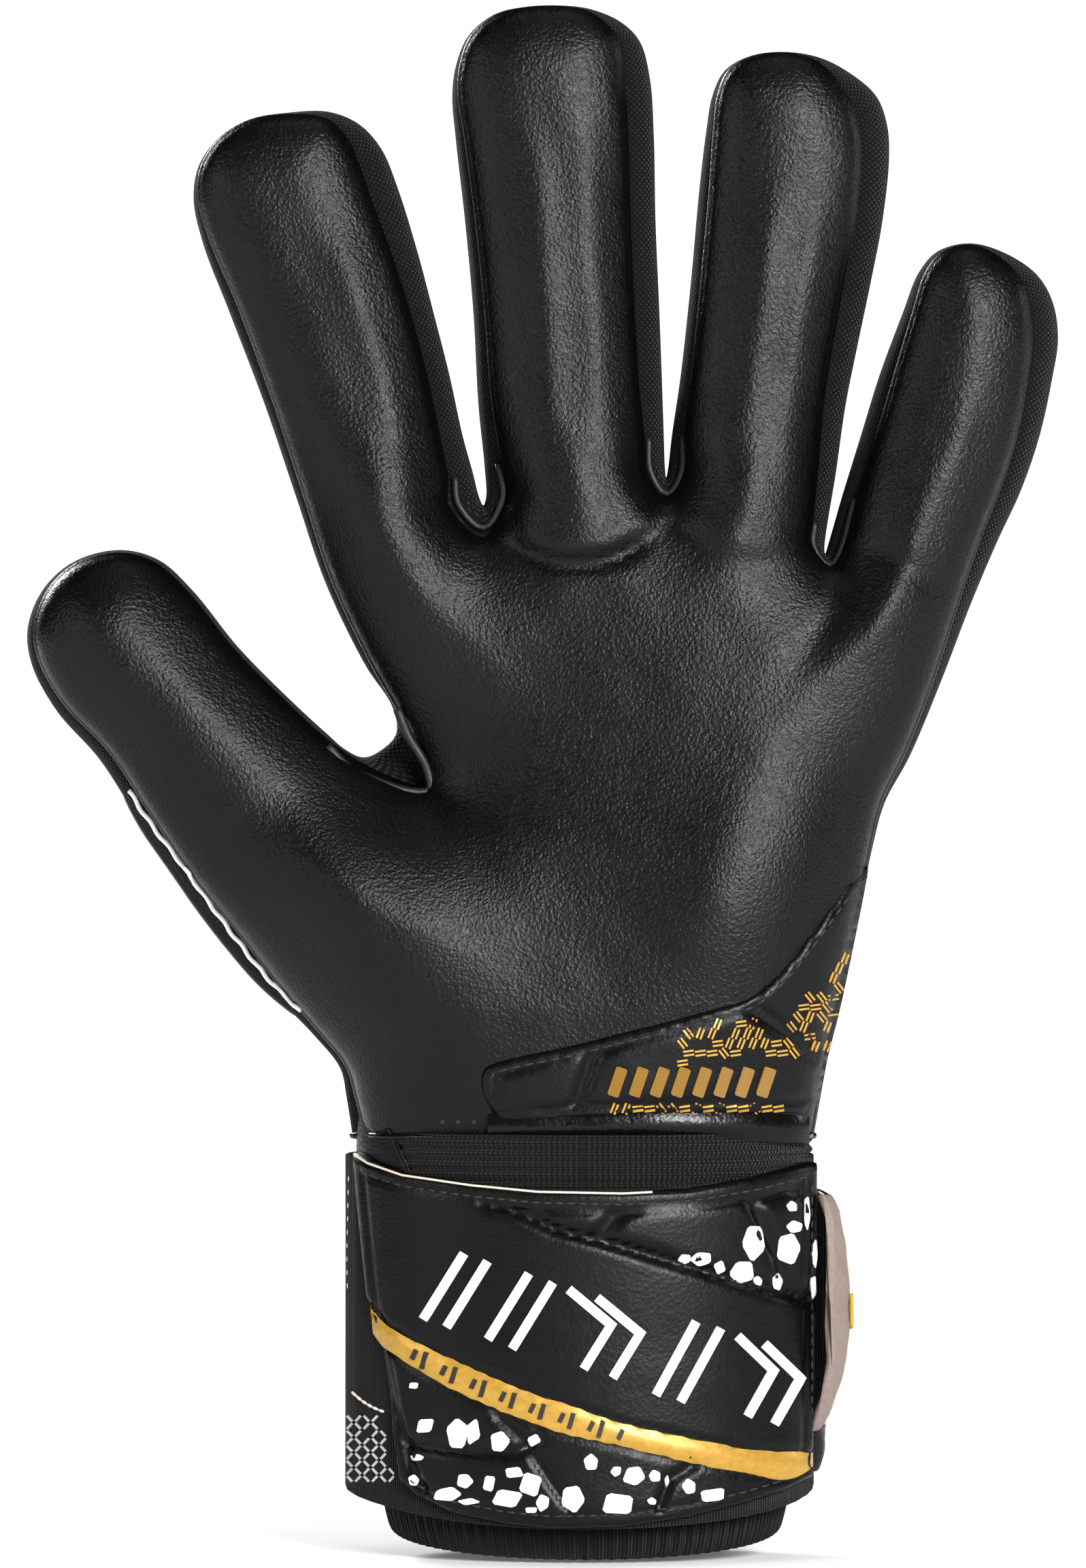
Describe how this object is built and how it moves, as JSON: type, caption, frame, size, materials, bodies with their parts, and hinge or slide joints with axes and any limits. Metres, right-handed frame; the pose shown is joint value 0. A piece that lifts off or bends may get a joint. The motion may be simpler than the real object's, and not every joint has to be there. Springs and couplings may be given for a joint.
{
  "type": "goalkeeper glove",
  "caption": "Left-hand goalkeeper glove with a foam latex palm, mesh gussets, padded back, jointed finger stalls and a wrist strap that wraps round and closes on the back.",
  "frame": {"origin": "centre of the hand opening, on the plane of the cuff's rim", "axes": "+Z from the wrist along the middle finger, -Y out of the palm, -X towards the thumb"},
  "size_m": [0.1864, 0.0571, 0.2796],
  "materials": {
    "latex": "smooth foam latex",
    "mesh_fabric": "spacer mesh",
    "backhand": "padded fabric",
    "embossed": "embossed synthetic leather",
    "knit": "ribbed elastic knit",
    "lining": "soft lining",
    "hooks": "hook tape",
    "pull": "laminated webbing"
  },
  "bodies": {
    "hand": {"palm_latex": "latex", "palm_heel_patch": "embossed", "palm_heel_binding": "embossed", "palm_lining": "lining", "backhand_panel": "backhand", "backhand_pad": "embossed", "backhand_lining": "lining", "gusset_thumb_outer": "mesh_fabric", "gusset_thumb_web": "mesh_fabric", "gusset_little_outer": "mesh_fabric", "fourchette_index_middle": "mesh_fabric", "fourchette_middle_ring": "mesh_fabric", "fourchette_ring_little": "mesh_fabric", "wrist_cuff": "knit", "wrist_elastic": "knit", "wrist_side_panel": "embossed", "strap_webbing": "knit", "strap_front_panel": "embossed", "strap_loop_patch": "knit"},
    "index_proximal": {"index_palm_proximal": "latex", "index_back_proximal": "backhand", "index_gusset_thumb_side": "mesh_fabric", "index_gusset_little_side": "mesh_fabric"},
    "index_distal": {"index_palm_distal": "latex", "index_back_distal": "backhand", "index_gusset_tip": "mesh_fabric"},
    "middle_proximal": {"middle_palm_proximal": "latex", "middle_back_proximal": "backhand", "middle_gusset_thumb_side": "mesh_fabric", "middle_gusset_little_side": "mesh_fabric"},
    "middle_distal": {"middle_palm_distal": "latex", "middle_back_distal": "backhand", "middle_gusset_tip": "mesh_fabric"},
    "ring_proximal": {"ring_palm_proximal": "latex", "ring_back_proximal": "backhand", "ring_gusset_thumb_side": "mesh_fabric", "ring_gusset_little_side": "mesh_fabric"},
    "ring_distal": {"ring_palm_distal": "latex", "ring_back_distal": "backhand", "ring_gusset_tip": "mesh_fabric"},
    "little_proximal": {"little_palm_proximal": "latex", "little_back_proximal": "backhand", "little_gusset_thumb_side": "mesh_fabric", "little_gusset_little_side": "mesh_fabric"},
    "little_distal": {"little_palm_distal": "latex", "little_back_distal": "backhand", "little_gusset_tip": "mesh_fabric"},
    "thumb_proximal": {"thumb_palm_proximal": "latex", "thumb_back_proximal": "backhand", "thumb_gusset_thumb_side": "mesh_fabric", "thumb_gusset_little_side": "mesh_fabric"},
    "thumb_distal": {"thumb_palm_distal": "latex", "thumb_back_distal": "backhand", "thumb_gusset_tip": "mesh_fabric"},
    "strap_flap": {"strap_flap": "pull", "strap_hook_patch": "hooks"},
    "strap_tab": {"strap_pull_tab": "pull"}
  },
  "joints": [
    {"name": "index_knuckle", "type": "hinge", "parent": "hand", "child": "index_proximal", "pos_m": [-0.0391, -0.0132, 0.204], "axis": [1, 0, 0], "range_deg": [0, 75], "stiffness_Nm_per_rad": 0.1},
    {"name": "index_bend", "type": "hinge", "parent": "index_proximal", "child": "index_distal", "pos_m": [-0.04661, -0.0128, 0.22889], "axis": [0.9573, 0, 0.289], "range_deg": [0, 80], "stiffness_Nm_per_rad": 0.05},
    {"name": "middle_knuckle", "type": "hinge", "parent": "hand", "child": "middle_proximal", "pos_m": [-0.0026, -0.0132, 0.206], "axis": [1, 0, 0], "range_deg": [0, 75], "stiffness_Nm_per_rad": 0.1},
    {"name": "middle_bend", "type": "hinge", "parent": "middle_proximal", "child": "middle_distal", "pos_m": [-0.00456, -0.0128, 0.23894], "axis": [0.9982, 0, 0.0593], "range_deg": [0, 80], "stiffness_Nm_per_rad": 0.05},
    {"name": "ring_knuckle", "type": "hinge", "parent": "hand", "child": "ring_proximal", "pos_m": [0.0313, -0.0132, 0.206], "axis": [1, 0, 0], "range_deg": [0, 75], "stiffness_Nm_per_rad": 0.1},
    {"name": "ring_bend", "type": "hinge", "parent": "ring_proximal", "child": "ring_distal", "pos_m": [0.03547, -0.0128, 0.23571], "axis": [0.9903, 0, -0.1392], "range_deg": [0, 80], "stiffness_Nm_per_rad": 0.05},
    {"name": "little_knuckle", "type": "hinge", "parent": "hand", "child": "little_proximal", "pos_m": [0.063, -0.0132, 0.196], "axis": [0.9945, 0, -0.1045], "range_deg": [0, 75], "stiffness_Nm_per_rad": 0.1},
    {"name": "little_bend", "type": "hinge", "parent": "little_proximal", "child": "little_distal", "pos_m": [0.06776, -0.0128, 0.2144], "axis": [0.9681, 0, -0.2504], "range_deg": [0, 80], "stiffness_Nm_per_rad": 0.05},
    {"name": "thumb_knuckle", "type": "hinge", "parent": "hand", "child": "thumb_proximal", "pos_m": [-0.0614, -0.0184, 0.1386], "axis": [0.7716, 0, 0.6361], "range_deg": [0, 45], "stiffness_Nm_per_rad": 0.1},
    {"name": "thumb_bend", "type": "hinge", "parent": "thumb_proximal", "child": "thumb_distal", "pos_m": [-0.07667, -0.0168, 0.15712], "axis": [0.7716, 0, 0.6361], "range_deg": [0, 50], "stiffness_Nm_per_rad": 0.05},
    {"name": "strap_open", "type": "hinge", "parent": "hand", "child": "strap_flap", "pos_m": [0.04556, -0.00364, 0.041], "axis": [0, 0, -1], "range_deg": [0, 110]},
    {"name": "tab_lift", "type": "hinge", "parent": "strap_flap", "child": "strap_tab", "pos_m": [-0.01682, 0.02782, 0.041], "axis": [0, 0, -1], "range_deg": [0, 60]}
  ]
}
